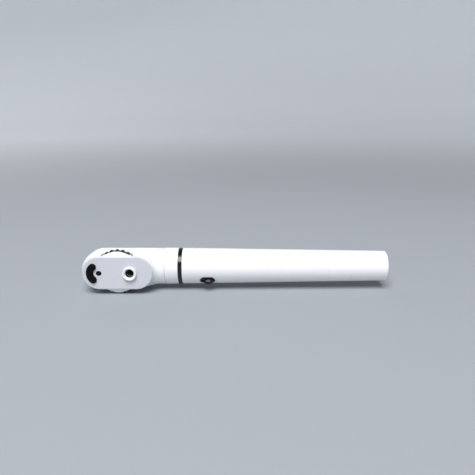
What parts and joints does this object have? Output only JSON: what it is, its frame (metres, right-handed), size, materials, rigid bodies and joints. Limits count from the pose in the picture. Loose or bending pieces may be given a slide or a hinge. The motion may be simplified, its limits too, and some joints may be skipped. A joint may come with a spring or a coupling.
{
  "type": "pocket ophthalmoscope",
  "caption": "Pocket ophthalmoscope: tapered battery handle with slide switch, screw-on head with oval face plate, brow rest, lens wheel and aperture wheel.",
  "frame": {"origin": "centre of the flat end face of the handle", "axes": "+X leaves the handle's end along its axis, so the head lies towards -X; -Y is the way the face plate looks; +Z is across"},
  "size_m": [0.1796, 0.0279, 0.0264],
  "materials": {
    "white_casing": "smooth white plastic, satin gloss",
    "plate_white": "white plastic, slightly greyer, satin",
    "brow_rubber": "soft black rubber, matt",
    "gloss_black": "polished black plastic",
    "wheel_black": "black plastic, scalloped rim",
    "inner_black": "black plastic, dull so that it doesn't scatter light",
    "dial_face": "dark printed ring",
    "window_smoke": "smoked clear plastic",
    "optical_glass": "polished clear lens glass",
    "bulb_glass": "clear bulb glass",
    "filter_green": "green filter glass",
    "mirror_silver": "front-silvered mirror",
    "brass": "turned brass",
    "nickel": "nickel plate",
    "steel": "bright steel",
    "cell_jacket": "wrapped cell with plain jacket"
  },
  "bodies": {
    "handle": {"handle_tube": "white_casing", "trim_ring": "gloss_black", "handle_sleeve": "brass", "switch_bezel": "gloss_black", "contact_strip": "brass", "end_contact": "nickel", "battery_spring": "steel"},
    "battery_stack": {"battery_upper": "cell_jacket", "battery_lower": "cell_jacket"},
    "head": {"front_housing": "white_casing", "rear_housing": "white_casing", "face_plate": "plate_white", "brow_rest": "brow_rubber", "display_window": "window_smoke", "eyepiece_ring": "white_casing", "housing_screws": "steel", "optics_chassis": "inner_black", "wheel_axle": "steel", "sight_tube": "inner_black", "detent_ball": "steel", "detent_spring": "steel", "mirror": "mirror_silver", "mirror_carrier": "inner_black", "projection_holder": "inner_black", "projection_lens": "optical_glass", "condenser_lens": "optical_glass", "patient_window": "optical_glass", "patient_bezel": "inner_black", "neck_collar": "white_casing", "neck_insert": "brass", "lamp_socket": "inner_black", "lamp_base": "nickel", "lamp_bulb": "bulb_glass", "contact_pin": "brass", "contact_spring": "steel", "aperture_axle": "steel"},
    "lens_wheel": {"lens_wheel": "wheel_black", "correction_lenses": "optical_glass", "dioptre_dial": "dial_face"},
    "aperture_wheel": {"aperture_wheel": "wheel_black", "red_free_filter": "filter_green"},
    "switch": {"switch_slider": "gloss_black", "slider_contact": "brass"}
  },
  "joints": [
    {"name": "battery_follow", "type": "slide", "parent": "handle", "child": "battery_stack", "axis": [-1, 0, 0], "range_m": [0, 0.006]},
    {"name": "head_unscrew", "type": "hinge", "parent": "battery_stack", "child": "head", "pos_m": [-0.124, 0, 0], "axis": [-1, 0, 0], "range_deg": [0, 1440]},
    {"name": "lens_wheel_turn", "type": "hinge", "parent": "head", "child": "lens_wheel", "pos_m": [-0.1585, -0.0106, 0], "axis": [0, 1, 0], "continuous": true},
    {"name": "aperture_wheel_turn", "type": "hinge", "parent": "head", "child": "aperture_wheel", "pos_m": [-0.1378, 0.0048, 0], "axis": [1, 0, 0], "continuous": true},
    {"name": "switch_slide", "type": "slide", "parent": "handle", "child": "switch", "axis": [-1, 0, 0], "range_m": [0, 0.0022]}
  ],
  "couplings": [
    {"joint": "head_unscrew", "follows": "battery_follow", "rad_per_m": 4188.8}
  ]
}
